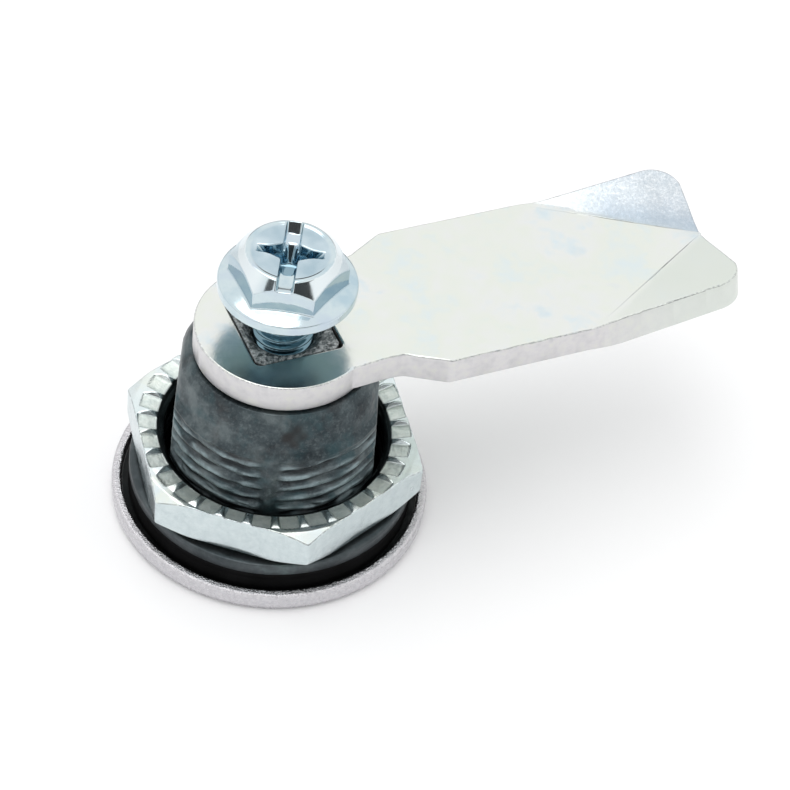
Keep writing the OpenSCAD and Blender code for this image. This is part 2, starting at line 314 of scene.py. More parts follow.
def gasket():
    return turned("gasket_moulded", [
        (11.15, gasket_low, 0.0), (11.15, gasket_high - 0.1, 0.1), (11.5, gasket_high, 0.1),
        (seal_r - 0.05, gasket_high, 0.35), (seal_r - 0.2, gasket_high - 0.9, 0.3),
        (seal_r, gasket_low + 0.6, 0.3), (seal_r, gasket_low, 0.1),
    ], "gasket", 0.012)


def washer():
    return turned("flat_washer_stamped", [
        (11.25, washer_low, 0.05), (11.25, washer_high, 0.22),
        (seal_r, washer_high, 0.28), (seal_r, washer_low, 0.08),
    ], "flat_washer", 0.008)


# ---------- mounting nut: hexagon, serrations, chamfers and threaded bore ----------

nut_low, nut_high = height("mounting_nut", 0), height("mounting_nut", 1)
nut_half = 13.5
nut_corner_r = 15.56
nut_bore_r = 11.05
nut_turn = math.radians(-14)
teeth = 30


def hexagon_radius(angle):
    """The nut's outline: a hexagon with its corners turned off."""
    off = angle % (math.pi / 3) - math.pi / 6
    return soft_min(nut_half / np.cos(off), nut_corner_r + 0 * off, 0.12)


def nut():
    pitch = math.pi / teeth
    # a groove's half width at its floor and how far out it runs; the chamfer at the bore
    floor_half, run_out, lead = 0.82, 13.75, 1.1
    floor_columns = [0, 0.45, 0.8, 0.9, 0.97]
    land = np.array([0.0, 0.22, 0.45, 0.7, 1.0])
    top_t = np.linspace(0, 1, 58)[:-1]

    def column_offsets(r):
        edge = r * math.sin(pitch)
        s = np.concatenate([floor_columns, 1.05 + (edge - 1.05) * land])
        a = np.arcsin(s / r)
        return np.concatenate([a[:-1], (2 * pitch - a[::-1])[:-1]])

    def angles(r):
        """Where the columns stand at one radius: close together beside each groove's floor."""
        one = column_offsets(r)
        return (np.arange(teeth)[:, None] * 2 * pitch + pitch + one[None, :]).ravel()

    def from_groove(r, a):
        """Distance sideways from the middle of the nearest groove."""
        return np.abs(r * np.sin(a % (2 * pitch) - pitch))

    def top_surface(r, a):
        s = from_groove(r, a)
        depth = (0.09 + 0.19 * (run_out - r)) * ease(r, run_out + 0.10, run_out - 0.10)
        groove = soft_max(nut_high - depth, nut_high - depth + s - floor_half, 0.08)
        # between the grooves each tooth is domed along its length and stands a little proud
        top, top_r = 0.11, 12.85
        dome = top - np.where(r > top_r, top * ((r - top_r) / 0.9) ** 2, 0.46 * (top_r - r) ** 2)
        tooth = nut_high + np.where(r < run_out, np.maximum(dome, -0.6), 0)
        outer = nut_high - (r - (nut_corner_r - 1.2)) * math.tan(math.radians(30))
        bore = nut_high - (nut_bore_r + lead - r)
        z = soft_min(soft_min(tooth, groove, 0.06), outer, 0.06)
        return soft_min(z, bore, 0.10)

    def bottom_surface(r):
        outer = nut_low + (r - (nut_corner_r - 1.4)) * math.tan(math.radians(30))
        bore = nut_low + (nut_bore_r + 1.5 * lead - r) / 1.5
        return soft_max(soft_max(nut_low + 0 * r, outer, 0.16), bore, 0.12)

    rows = []
    outline = angles(13.6)
    reach = hexagon_radius(outline)
    round_r = 0.10
    for t in top_t:
        a = angles(nut_bore_r + 2.9 * t)
        out = hexagon_radius(a) - round_r
        r = nut_bore_r + (out - nut_bore_r) * t
        rows.append((r, a, top_surface(r, a)))
    for q in np.linspace(0, math.pi / 2, 5):
        r = reach - round_r * (1 - math.sin(q))
        rows.append((r, outline, top_surface(r, outline) - round_r * (1 - math.cos(q))))
    top_edge = top_surface(reach, outline) - round_r
    low_edge = bottom_surface(reach) + round_r
    for t in np.linspace(0, 1, 9)[1:-1]:
        rows.append((reach, outline, top_edge + (low_edge - top_edge) * t))
    for q in np.linspace(math.pi / 2, 0, 5):
        r = reach - round_r * (1 - math.sin(q))
        rows.append((r, outline, bottom_surface(r) + round_r * (1 - math.cos(q))))
    for t in np.linspace(1, 0, 16)[1:]:
        r = nut_bore_r + (reach - round_r - nut_bore_r) * t
        rows.append((r, outline, bottom_surface(r)))
    bore_low, bore_high = nut_low + lead, nut_high - lead
    start = angles(nut_bore_r)
    for t in np.linspace(0, 1, 26)[1:-1]:
        z = bore_low + (bore_high - bore_low) * t
        a = outline + (start - outline) * t
        dig = ease(triangle(z / barrel_pitch - a / (2 * math.pi)), 0.15, 1.0)
        ends = ease(t, 0, 0.08) * (1 - ease(t, 0.92, 1))
        rows.append((nut_bore_r + 0.45 * dig * ends, a, z + 0 * a))
    r, a, z = (np.stack([row[i] for row in rows]) for i in range(3))
    z = z + 0.006 * waves(31, a, r, 10, 24)
    o = new_piece("mounting_nut_serrated", polar(r, a + nut_turn, z), ring_faces(*r.shape),
                  "nut", "mounting_nut")
    level = (np.arange(len(rows)) - len(top_t))[:, None]
    chamfer_r = nut_bore_r + lead
    ringed = (1 - ease(r, run_out - 0.15, run_out + 0.05)) * ease(r, chamfer_r - 0.4, chamfer_r - 0.2)
    mark(o, "groove", (level < 0) * ringed * (1 - ease(from_groove(r, a), floor_half, floor_half + 0.08)))
    # painted shade: this mark paints the bore and its chamfer near black, where shade falls
    mark(o, "bore", 1 - ease(r, chamfer_r - 0.45, chamfer_r - 0.15))
    mark(o, "rolled", np.clip(2 - np.abs(level - 2), 0, 1) + 0 * r)
    return o


# ---------- cam screw: hexagon flange head, cross recess with a slot, rolled thread ----------

screw_low, screw_high = height("cam_screw", 0), height("cam_screw", 1)
screw_seat = screw_high - 4.65
screw_turn = math.radians(-3)
screw_half = 5.0
brim_r = 6.73
crown_r = 4.25
shank_r = 3.0
screw_pitch = 1.0
slot_half = 0.80


def cam_screw():
    def solid(x, y, z):
        c, s = math.cos(-screw_turn), math.sin(-screw_turn)
        x, y = x * c - y * s, x * s + y * c
        r = np.sqrt(x * x + y * y)
        down = screw_high - z
        sides = np.abs(y) - screw_half
        for k in (1, -1):
            n = (math.cos(k * math.pi / 6), math.sin(k * math.pi / 6))
            sides = soft_max(sides, np.abs(x * n[0] + y * n[1]) - screw_half, 0.10)
        dish = 0.10 * (1 - ease(r, 3.65, 4.0))
        crown = soft_max(dish - down, (r - crown_r - down) * 0.707, 0.12)
        head = soft_max(soft_max(sides, crown, 0.09), screw_seat + 0.3 - z, 0.05)
        brim = (z - screw_seat - 0.98 - (6.75 - r) * 0.30) * 0.958
        brim = soft_max(soft_max(brim, r - brim_r, 0.22), screw_seat - z, 0.12)
        body = soft_min(head, brim, 0.18)
        groove = ease(triangle(z / screw_pitch - np.arctan2(y, x) / (2 * math.pi)), 0.08, 0.95)
        fade = 1 - ease(z, screw_seat - 0.9, screw_seat - 0.3)
        shank = r - shank_r + 0.52 * (1 - groove) * fade
        tip = (r + (screw_low - z) - 2.35) * 0.7
        ends = soft_max(screw_low - z, z - screw_seat - 0.5, 0.1)
        shank = soft_max(soft_max(shank, tip, 0.1), ends, 0.1)
        body = soft_min(body, shank, 0.14)
        # the slot ramps up to the back, and is a little shallower at its front end
        slot_depth = 1.12 - 0.85 * np.clip((y - 3.55) / 0.85, 0, 1) - 0.25 * ease(-y, 3.6, 4.9)
        slot_floor = (down - slot_depth) * (1 - 0.3 * ease(y, 3.4, 3.6))
        slot = soft_max(np.abs(x) - slot_half + down * 0.03, slot_floor, 0.3)
        ax, ay = np.abs(x), np.abs(y)
        flare = 0.46 + 0.55 * np.exp(-((ax - 0.7) / 1.0) ** 2)
        across = soft_max(ay - flare + down * 0.10, (ax - 3.35 + down * 0.8) * 0.75, 0.22)
        along = soft_max(ax - 0.70 + down * 0.12, (ay - 3.3 + down * 0.95) * 0.72, 0.4)
        cross = soft_max(soft_min(across, along, 0.5), down - 2.7, 0.2)
        recess = soft_min(cross, slot, 0.15)
        return soft_max(body, -recess, 0.14)

    low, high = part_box("cam_screw")
    verts, faces, normals = contour(solid, np.array(low) / MM, np.array(high) / MM, 0.115)
    o = new_piece("cam_screw_plated", verts, faces, "screw", "cam_screw")
    use_normals(o, normals)
    c, k = math.cos(-screw_turn), math.sin(-screw_turn)
    x, y = verts[:, 0] * c - verts[:, 1] * k, verts[:, 0] * k + verts[:, 1] * c
    r, down = np.hypot(x, y), screw_high - verts[:, 2]
    facing, _, up = np.abs(normals).T / np.maximum(np.linalg.norm(normals, axis=1), 1e-9)
    beside_slot = np.maximum(ease(np.abs(x), 0.8, 1.0), ease(down, 1.2, 1.5))
    head_height = screw_high - screw_seat
    mark(o, "disc", (1 - ease(r, 3.6, 3.9)) * (down < 0.3))
    # painted shade: the cross recess is painted darker the deeper it goes
    mark(o, "recess_painted_shade", ease(down, 0.25, 0.9) * (r < 3.9) * (down < 3) * beside_slot)
    # painted highlight: the sloping chamfer round the head is painted lighter to the left and right of the
    # slot
    bevelled = (up > 0.5) * (up < 0.9) * (r > 4.1) * (down < 1.8)
    mark(o, "crown", ease(np.abs(x) / np.maximum(r, 0.1), 0.30, 0.60) * bevelled)
    # painted reflection: the four hexagon flats facing left and right are painted darker, standing in for the
    # brim they mirror
    mark(o, "side", ease(facing, 0.6, 0.8) * (r > 4.9) * (r < 5.9) * (down < 3.4))
    mark(o, "shade", ease(down, head_height - 0.1, head_height + 0.02))
    return o


# ---------- cam: blanked plate with rolled edges and two corners bent up ----------

cam_low = height("cam", 0)
cam_t = 3.0
cam_turn = math.radians(24.5)
cam_reach = 45.6
head_r = 8.7
blade_half = 9.45
hole_half = 4.5
hole_corner_r = 0.62
top_round, low_round = 0.20, 0.14
tip_r = 3.2
tip_flare = 0.7
corner_bend = math.radians(14)
crease_depth = 0.07
fold_back = 16.7


def cam_outline():
    """Round head, necked shoulder, wide blade and a tip whose middle stands back a little."""
    side = [(head_r * math.cos(a), head_r * math.sin(a)) for a in np.radians(np.linspace(180, 59, 40))]
    side += [(7.6, 7.22), (8.6, 7.20), (9.5, 7.25), (10.0, 7.42), (10.5, 7.72), (13.35, 9.27)]
    side += [(x, blade_half) for x in [13.75, *np.linspace(16, cam_reach - tip_r - 1, 8)]]
    c = (cam_reach + tip_flare - tip_r, blade_half - tip_r)
    corner = np.radians(np.linspace(90, 7, 16))
    side += [(c[0] + tip_r * math.cos(a), c[1] + tip_r * math.sin(a)) for a in corner]
    side += [(cam_reach + 0.42, 4.2), (cam_reach + 0.14, 2.0)]
    return side + [(cam_reach, 0)] + [(x, -y) for x, y in side[::-1]][:-1]


def hole_outline():
    flat = hole_half - hole_corner_r
    points = []
    for k in range(4):
        c, s = math.cos(k * math.pi / 2), math.sin(k * math.pi / 2)
        for q in np.linspace(0, math.pi / 2, 6):
            x, y = flat + hole_corner_r * math.cos(q), flat + hole_corner_r * math.sin(q)
            points.append((x * c - y * s, x * s + y * c))
    return points


def moved_left(points, distance):
    """A closed outline moved to the left of the way it runs."""
    p = np.array(points)
    step = np.roll(p, -1, 0) - p
    n = np.stack([-step[:, 1], step[:, 0]], -1) / np.linalg.norm(step, axis=1)[:, None]
    both = n + np.roll(n, 1, 0)
    return p + both * 2 / (both * both).sum(1)[:, None] * distance


def cam():
    bm = bmesh.new()
    flat = bm.faces.layers.int.new("flat")
    rolled = bm.verts.layers.float.new("rolled")
    quarter = np.linspace(0, math.pi / 2, 4)
    # the edge's section, from the upper face down to the lower one: (how far in, height, how rolled it is)
    section = [(top_round * (1 - math.sin(q)), cam_t - top_round * (1 - math.cos(q)), math.sin(2 * q))
               for q in quarter]
    section += [(low_round * (1 - math.sin(q)), low_round * (1 - math.cos(q)), 0) for q in quarter[::-1]]
    ends = ([], [])
    for outline in (cam_outline()[::-1], hole_outline()[::-1]):
        rings = []
        for distance, z, roll in section:
            ring = [bm.verts.new((x, y, z)) for x, y in moved_left(outline, distance)]
            for v in ring:
                v[rolled] = roll
            rings.append(ring)
        for above, below in zip(rings, rings[1:]):
            for i in range(len(above)):
                bm.faces.new((above[i - 1], below[i - 1], below[i], above[i]))
        for edges, ring in zip(ends, (rings[0], rings[-1])):
            edges += [bm.edges.get((ring[i - 1], ring[i])) for i in range(len(ring))]
    for edges, up in zip(ends, (1, -1)):
        made = bmesh.ops.triangle_fill(bm, use_beauty=True, edges=edges, normal=(0, 0, up))["geom"]
        for g in made:
            if isinstance(g, bmesh.types.BMFace):
                g[flat] = 1
    bmesh.ops.recalc_face_normals(bm, faces=bm.faces[:])

    # cuts beside each fold, so that the bend has its own faces
    tip = Vector((cam_reach, 0, 0))
    back = Vector((-fold_back, blade_half, 0)).normalized()
    for side in (1, -1):
        out = Vector((back.y, -back.x * side, 0))
        for k in (-0.13, 0, 0.13, 0.25, 0.4, 0.6, 0.85, 1.15, 1.5, 2.2, 3.2, 4.4):
            bmesh.ops.bisect_plane(bm, geom=bm.verts[:] + bm.edges[:] + bm.faces[:],
                                   plane_co=tip + out * k, plane_no=out, dist=1e-4)
    for x in np.arange(17, 45, 3.5):
        bmesh.ops.bisect_plane(bm, geom=bm.verts[:] + bm.edges[:] + bm.faces[:],
                               plane_co=(x, 0, 0), plane_no=(1, 0, 0), dist=1e-4)

    # each corner bends up about its fold: sharply by the tip, more gently towards the blade's edge
    flap = bm.verts.layers.float.new("flap")
    crease_painted_shade = bm.verts.layers.float.new("crease_painted_shade")
    fold_painted_shade = bm.verts.layers.float.new("fold_painted_shade")
    for v in bm.verts:
        side = 1 if v.co.y >= 0 else -1
        out = Vector((back.y, -back.x * side, 0))
        away = Vector((v.co.x, v.co.y, 0)) - tip
        d = away.dot(out)
        along = away.dot(Vector((back.x, back.y * side, 0)))
        soft = float(ease(along, 5, 19))
        neutral = 0.2 + 4.0 * soft + cam_t / 2
        arc = neutral * corner_bend
        h = v.co.z - cam_t / 2
        # the fold line is pressed in, and its mark paints a dark line of shade along it
        if h > 1 and abs(d) < 0.01 and along > 1.2:
            v[crease_painted_shade] = 1 - soft
            v.co.z -= crease_depth * (1 - soft)
            h -= crease_depth * (1 - soft)
        if d <= 0:
            continue
        a = min(d / neutral, corner_bend)
        rest = max(d - arc, 0)
        # the flap mark carries painted shade for each bent corner, fading along the far fold
        v[flap] = side * float(ease(d, 0, 1.2)) * (1 - 0.7 * float(ease(along, 9, 18)))
        # painted shade: a band beside the far corner's fold
        near_fold = ease(d, 0, 0.25) * (1 - ease(d, 0.5, 4.2)) * (1 - ease(along, 8, 15))
        v[fold_painted_shade] = (side > 0) * float(near_fold)
        v.co += out * (neutral * math.sin(a) + rest * math.cos(a) - h * math.sin(a) - d)
        v.co.z = cam_t / 2 + neutral * (1 - math.cos(a)) + rest * math.sin(a) + h * math.cos(a)
    turn = Quaternion((0, 0, 1), cam_turn).to_matrix()
    bmesh.ops.rotate(bm, verts=bm.verts[:], cent=(0, 0, 0), matrix=turn)
    bm.normal_update()
    normals = []
    for v in bm.verts:
        # the two broad faces keep their own normals right up to their edges
        around = [f for f in v.link_faces if f[flat]] or v.link_faces
        normals.append(sum((f.normal * f.calc_area() for f in around), Vector()))
        v.co = Vector((v.co.x, v.co.y, v.co.z + cam_low)) * MM
    mesh = bpy.data.meshes.new("cam_plate")
    bm.to_mesh(mesh)
    bm.free()
    mesh.shade_smooth()
    o = place(bpy.data.objects.new("cam_plate", mesh), "rotor", "cam")
    use_normals(o, np.array(normals))
    return o


# ---------- rotor: the cast spindle, its edges broken ----------

def rotor():
    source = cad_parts["rotor"].data
    bm = bmesh.new()
    bm.from_mesh(source)
    bmesh.ops.remove_doubles(bm, verts=bm.verts[:], dist=1e-7)
    bmesh.ops.dissolve_limit(bm, angle_limit=math.radians(1), verts=bm.verts[:], edges=bm.edges[:])
    mesh = bpy.data.meshes.new("rotor_cast")
    bm.to_mesh(mesh)
    bm.free()
    mesh.materials.clear()
    mesh.shade_smooth()
    o = place(bpy.data.objects.new("rotor_cast", mesh), "rotor", "rotor")
    soften = o.modifiers.new("broken_edges", "BEVEL")
    soften.width = 0.12 * MM
    soften.segments = 2
    soften.limit_method = "ANGLE"
    soften.angle_limit = math.radians(40)
    soften.harden_normals = True
    return o


pieces = {"housing": housing(), "gasket": gasket(), "washer": washer(), "nut": nut(),
          "screw": cam_screw(), "cam": cam(), "rotor": rotor()}


# ---------- materials: lengths from here on are in metres ----------

def shader(name):
    m = bpy.data.materials.new(name)
    m.use_nodes = True
    return m, m.node_tree, m.node_tree.nodes["Principled BSDF"]


def link(tree, source, target):
    tree.links.new(source, target)


def coords(tree):
    return tree.nodes.new("ShaderNodeTexCoord").outputs["Object"]


def noise(tree, scale, detail=4.0, rough=0.55, stretch=(1, 1, 1)):
    n = tree.nodes.new("ShaderNodeTexNoise")
    n.inputs["Scale"].default_value = scale
    n.inputs["Detail"].default_value = detail
    n.inputs["Roughness"].default_value = rough
    place_on = tree.nodes.new("ShaderNodeMapping")
    place_on.inputs["Scale"].default_value = stretch
    link(tree, coords(tree), place_on.inputs["Vector"])
    link(tree, place_on.outputs["Vector"], n.inputs["Vector"])
    return n.outputs["Fac"]


def ramp(tree, source, stops):
    n = tree.nodes.new("ShaderNodeValToRGB")
    e = n.color_ramp.elements
    while len(e) < len(stops):
        e.new(0.5)
    for i, (at, colour) in enumerate(stops):
        e[i].position = at
        e[i].color = (*colour, 1)
    link(tree, source, n.inputs["Fac"])
    return n.outputs["Color"]


def mask(tree, source, start, end):
    """Black below start and white above end."""
    return ramp(tree, source, [(start, (0, 0, 0)), (end, (1, 1, 1))])


def mix(tree, fac, a, b):
    n = tree.nodes.new("ShaderNodeMix")
    n.data_type = "RGBA"
    for socket, value in ((n.inputs[0], fac), (n.inputs[6], a), (n.inputs[7], b)):
        if hasattr(value, "is_linked"):
            link(tree, value, socket)
        elif isinstance(value, (int, float)):
            socket.default_value = value
        else:
            socket.default_value = (*value, 1)
    return n.outputs[2]


def spread(tree, source, low, high, out_low, out_high):
    n = tree.nodes.new("ShaderNodeMapRange")
    link(tree, source, n.inputs["Value"])
    for key, value in (("From Min", low), ("From Max", high), ("To Min", out_low), ("To Max", out_high)):
        n.inputs[key].default_value = value
    return n.outputs["Result"]


def maths(tree, kind, a, b=0.0):
    n = tree.nodes.new("ShaderNodeMath")
    n.operation = kind
    for socket, value in zip(n.inputs, (a, b)):
        if hasattr(value, "is_linked"):
            link(tree, value, socket)
        else:
            socket.default_value = value
    return n.outputs[0]


def times(tree, a, b):
    return maths(tree, "MULTIPLY", a, b)


def uneven(tree, source, low, high):
    """A noise stretched to run from low to high."""
    return spread(tree, source, 0.3, 0.7, low, high)


def mix_value(tree, fac, a, b):
    n = tree.nodes.new("ShaderNodeMix")
    for socket, value in zip((n.inputs[0], n.inputs[2], n.inputs[3]), (fac, a, b)):
        link(tree, value, socket)
    return n.outputs[0]


def part_of(tree, kind, axis):
    """One axis of the surface's own place (Object) or of the way it faces (Normal)."""
    if kind == "Normal":
        source = tree.nodes.new("ShaderNodeNewGeometry").outputs["Normal"]
    else:
        source = coords(tree)
    n = tree.nodes.new("ShaderNodeSeparateXYZ")
    link(tree, source, n.inputs["Vector"])
    return n.outputs[axis]


def attribute(tree, key):
    """A number kept on the mesh by mark."""
    n = tree.nodes.new("ShaderNodeAttribute")
    n.attribute_name = key
    return n.outputs["Fac"]


def bump(tree, bsdf, *layers):
    """Bumps stacked on each other; each layer is (height, depth in metres)."""
    before = None
    for source, depth in layers:
        n = tree.nodes.new("ShaderNodeBump")
        n.inputs["Strength"].default_value = 1.0
        n.inputs["Distance"].default_value = depth
        link(tree, source, n.inputs["Height"])
        if before is not None:
            link(tree, before, n.inputs["Normal"])
        before = n.outputs["Normal"]
    link(tree, before, bsdf.inputs["Normal"])


def cam_finish():
    """Zinc plate with a faint yellow-green tint, pinker on the cut edges; the bent corners carry painted
    shade.
    """
    m, t, b = shader("cam_zinc_plate")
    b.inputs["Metallic"].default_value = 1.0
    face = ramp(t, noise(t, 130, 5, 0.7), [
        (0.32, (0.700, 0.775, 0.785)), (0.46, (0.755, 0.785, 0.730)),
        (0.58, (0.765, 0.785, 0.765)), (0.70, (0.685, 0.765, 0.795))])
    blots = mask(t, noise(t, 260, 2, 0.5), 0.66, 0.78)
    face = mix(t, blots, face, mix(t, 0.22, face, (0.52, 0.64, 0.72)))
    side = ramp(t, noise(t, 1100, 5, 0.6), [
        (0.30, (0.60, 0.595, 0.605)), (0.50, (0.66, 0.65, 0.66)), (0.70, (0.69, 0.69, 0.66))])
    upright = spread(t, maths(t, "ABSOLUTE", part_of(t, "Normal", "Z")), 0.35, 0.8, 0, 1)
    colour = mix(t, upright, side, face)
    # painted shade: both bent corners are given their own tone for how their tilt catches light, the far one
    # darker and fading along its fold
    flap = attribute(t, "flap")
    far = spread(t, flap, 0.1, 1, 0, 1)
    near = spread(t, flap, -0.1, -1, 0, 0.8)
    colour = mix(t, near, colour, (0.69, 0.735, 0.685))
    far_flap_painted_shade = ramp(t, noise(t, 2600, 6, 0.75), [
        (0.36, (0.47, 0.54, 0.61)), (0.50, (0.57, 0.625, 0.68)), (0.66, (0.80, 0.84, 0.88))])
    colour = mix(t, times(t, far, 0.85), colour, far_flap_painted_shade)
    # painted shade: a bluish dark band beside the far corner's fold
    colour = mix(t, times(t, attribute(t, "fold_painted_shade"), 0.70), colour, (0.37, 0.45, 0.53))
    # painted shade: a dark line along each fold's crease
    colour = mix(t, times(t, attribute(t, "crease_painted_shade"), 0.75), colour, (0.22, 0.25, 0.26))
    nicks = mask(t, noise(t, 4200, 4, 0.7), 0.44, 0.58)
    nicks = times(t, nicks, times(t, attribute(t, "rolled"), 0.6))
    colour = mix(t, nicks, colour, (0.30, 0.31, 0.33))
    link(t, colour, b.inputs["Base Color"])
    rough = uneven(t, noise(t, 500, 4), 0.15, 0.23)
    cut_rough = uneven(t, noise(t, 900, 4), 0.28, 0.44)
    link(t, mix_value(t, upright, cut_rough, rough), b.inputs["Roughness"])
    bump(t, b, (noise(t, 250, 3), 0.000016), (noise(t, 1800, 5, 0.7), 0.000010))
    return m


def nut_finish():
    m, t, b = shader("nut_zinc_plate")
    b.inputs["Metallic"].default_value = 1.0
    tone = ramp(t, noise(t, 170, 4, 0.6), [
        (0.32, (0.69, 0.78, 0.79)), (0.5, (0.76, 0.83, 0.835)),
        (0.62, (0.77, 0.82, 0.77)), (0.75, (0.70, 0.79, 0.83))])
    specks = mask(t, noise(t, 1500, 5, 0.7), 0.70, 0.80)
    upright = spread(t, maths(t, "ABSOLUTE", part_of(t, "Normal", "Z")), 0.15, 0.4, 1, 0)
    side = ramp(t, noise(t, 1400, 5, 0.7), [(0.34, (0.57, 0.65, 0.665)), (0.66, (0.68, 0.755, 0.765))])
    tone = mix(t, upright, tone, side)
    colour = mix(t, times(t, specks, 0.35), tone, (0.40, 0.43, 0.40))
    inside = attribute(t, "groove")
    coined = ramp(t, noise(t, 1300, 4, 0.7), [
        (0.36, (0.62, 0.70, 0.66)), (0.52, (0.76, 0.83, 0.77)), (0.66, (0.88, 0.93, 0.87))])
    colour = mix(t, times(t, inside, 0.7), colour, coined)
    nicks = mask(t, noise(t, 2400, 4, 0.7), 0.40, 0.56)
    nicks = times(t, nicks, times(t, attribute(t, "rolled"), 0.65))
    colour = mix(t, nicks, colour, (0.22, 0.25, 0.26))
    # painted shade: the bore and its chamfer painted near black
    colour = mix(t, times(t, attribute(t, "bore"), 0.93), colour, (0.020, 0.024, 0.024))
    link(t, colour, b.inputs["Base Color"])
    link(t, spread(t, inside, 0, 1, 1.0, 0.84), b.inputs["Metallic"])
    smooth = uneven(t, noise(t, 600, 4), 0.16, 0.28)
    link(t, maths(t, "ADD", smooth, times(t, inside, 0.14)), b.inputs["Roughness"])
    rugged = times(t, noise(t, 1500, 5, 0.7), inside)
    bump(t, b, (noise(t, 420, 3), 0.00002), (noise(t, 3000, 3, 0.65), 0.000005), (rugged, 0.00009))
    return m


def screw_finish():
    m, t, b = shader("screw_zinc_plate")
    b.inputs["Metallic"].default_value = 1.0
    tone = ramp(t, noise(t, 240, 3, 0.6), [
        (0.32, (0.46, 0.59, 0.66)), (0.5, (0.60, 0.70, 0.73)), (0.7, (0.54, 0.63, 0.71))])
    stained = ramp(t, noise(t, 300, 2, 0.5), [
        (0.34, (0.40, 0.52, 0.59)), (0.52, (0.52, 0.63, 0.69)), (0.68, (0.70, 0.80, 0.84))])
    # in this table the recess, bevel and flat entries are painted light: shade in the recess, a highlight on
    # the chamfer, darker reflections on four flats; the last entry is painted shade below the brim
    for key, colour, amount in (
            ("disc", stained, 1.0), ("recess_painted_shade", (0.17, 0.30, 0.38), 0.80), ("crown", (0.80, 0.86, 0.88), 0.85),
            ("side", (0.36, 0.48, 0.55), 0.7), ("shade", (0.13, 0.23, 0.28), 0.92)):
        tone = mix(t, times(t, attribute(t, key), amount), tone, colour)
    link(t, tone, b.inputs["Base Color"])
    link(t, uneven(t, noise(t, 700, 4), 0.05, 0.13), b.inputs["Roughness"])
    bump(t, b, (noise(t, 420, 2), 0.000020), (noise(t, 1600, 3), 0.000004))
    return m


def raw_casting(tree):
    """Colour of bare die-cast zinc: dark slate with fine light grains, teal clouds and brown stains."""
    tone = ramp(tree, noise(tree, 210, 5, 0.65), [
        (0.36, (0.022, 0.031, 0.036)), (0.50, (0.054, 0.071, 0.078)), (0.62, (0.115, 0.140, 0.146))])
    grain = mask(tree, noise(tree, 2300, 6, 0.75), 0.50, 0.72)
    base = mix(tree, times(tree, grain, 0.32), tone, (0.24, 0.28, 0.29))
    teal = mask(tree, noise(tree, 300, 4, 0.6), 0.50, 0.66)
    brown = mask(tree, noise(tree, 260, 4, 0.65), 0.54, 0.68)
    base = mix(tree, times(tree, teal, 0.55), base, (0.034, 0.080, 0.092))
    return mix(tree, times(tree, brown, 0.40), base, (0.052, 0.040, 0.038))


def housing_finish():
    """Satin chrome on the flange, bare casting on the barrel and in the bores."""
    m, t, b = shader("housing_zinc_casting")
    z = part_of(t, "Object", "Z")
    length = t.nodes.new("ShaderNodeVectorMath")
    length.operation = "LENGTH"
    flat_place = t.nodes.new("ShaderNodeVectorMath")
    flat_place.operation = "MULTIPLY"
    flat_place.inputs[1].default_value = (1, 1, 0)
    link(t, coords(t), flat_place.inputs[0])
    link(t, flat_place.outputs[0], length.inputs[0])
    radius = length.outputs["Value"]
    outside = spread(t, radius, 0.01500, 0.01520, 0, 1)
    under = spread(t, z, 0.0003, 0.0009, 1, 0)
    chrome = maths(t, "MAXIMUM", outside, under)
    satin = ramp(t, noise(t, 2600, 3, 0.6), [(0.36, (0.57, 0.56, 0.585)), (0.64, (0.66, 0.65, 0.67))])
    lip = spread(t, z, 0.0016, 0.0020, 0.1, 1)
    # painted highlight: bright and dark specks painted along the rim's inner top edge as a sparkling
    # reflection
    lip_glint_band = times(t, spread(t, radius, 0.01550, 0.01535, 0, 1), spread(t, z, 0.0017, 0.0020, 0, 1))
    painted_glints = ramp(t, noise(t, 4200, 3, 0.7), [(0.50, (0.92, 0.92, 0.94)), (0.57, (0.05, 0.05, 0.06))])
    satin = mix(t, times(t, lip_glint_band, 0.8), satin, painted_glints)
    worn = attribute(t, "thread")
    rubbed = spread(t, noise(t, 700, 5, 0.7), 0.38, 0.60, 0.2, 0.95)
    # the thread mark paints light and shade on the barrel: crests lighter, partly rubbed wear and partly
    # painted highlight; roots near black as painted shade
    crest_wear_and_highlight = times(t, spread(t, worn, 0.50, 1.0, 0, 1.2), rubbed)
    root_painted_shade = spread(t, worn, 0.36, 0.05, 0, 0.85)
    bare = mix(t, crest_wear_and_highlight, raw_casting(t), (0.26, 0.33, 0.35))
    bare = mix(t, root_painted_shade, bare, (0.010, 0.013, 0.015))
    bare = mix(t, times(t, attribute(t, "stain"), 0.75), bare, (0.022, 0.018, 0.017))
    # painted shade: the housing floor in the gap between the gasket and the rim is painted near black, where
    # shadow falls
    gap_floor_painted_shade = times(t, spread(t, radius, 0.0111, 0.0113, 0, 0.92), spread(t, z, 0.0018, 0.0022, 1, 0))
    bare = mix(t, gap_floor_painted_shade, bare, (0.004, 0.004, 0.004))
    link(t, mix(t, chrome, bare, satin), b.inputs["Base Color"])
    link(t, spread(t, chrome, 0, 1, 0.72, 1.0), b.inputs["Metallic"])
    raw_rough = uneven(t, noise(t, 700, 5), 0.28, 0.52)
    rim_rough = uneven(t, noise(t, 1400, 4), 0.20, 0.34)
    link(t, mix_value(t, chrome, raw_rough, rim_rough), b.inputs["Roughness"])
    smoother = spread(t, chrome, 0, 1, 1, 0.18)
    bump(t, b, (times(t, noise(t, 800, 5, 0.65), smoother), 0.00004),
         (times(t, noise(t, 2600, 4, 0.7), smoother), 0.000016),
         (times(t, noise(t, 5500, 3, 0.6), times(t, lip, outside)), 0.00009))
    return m


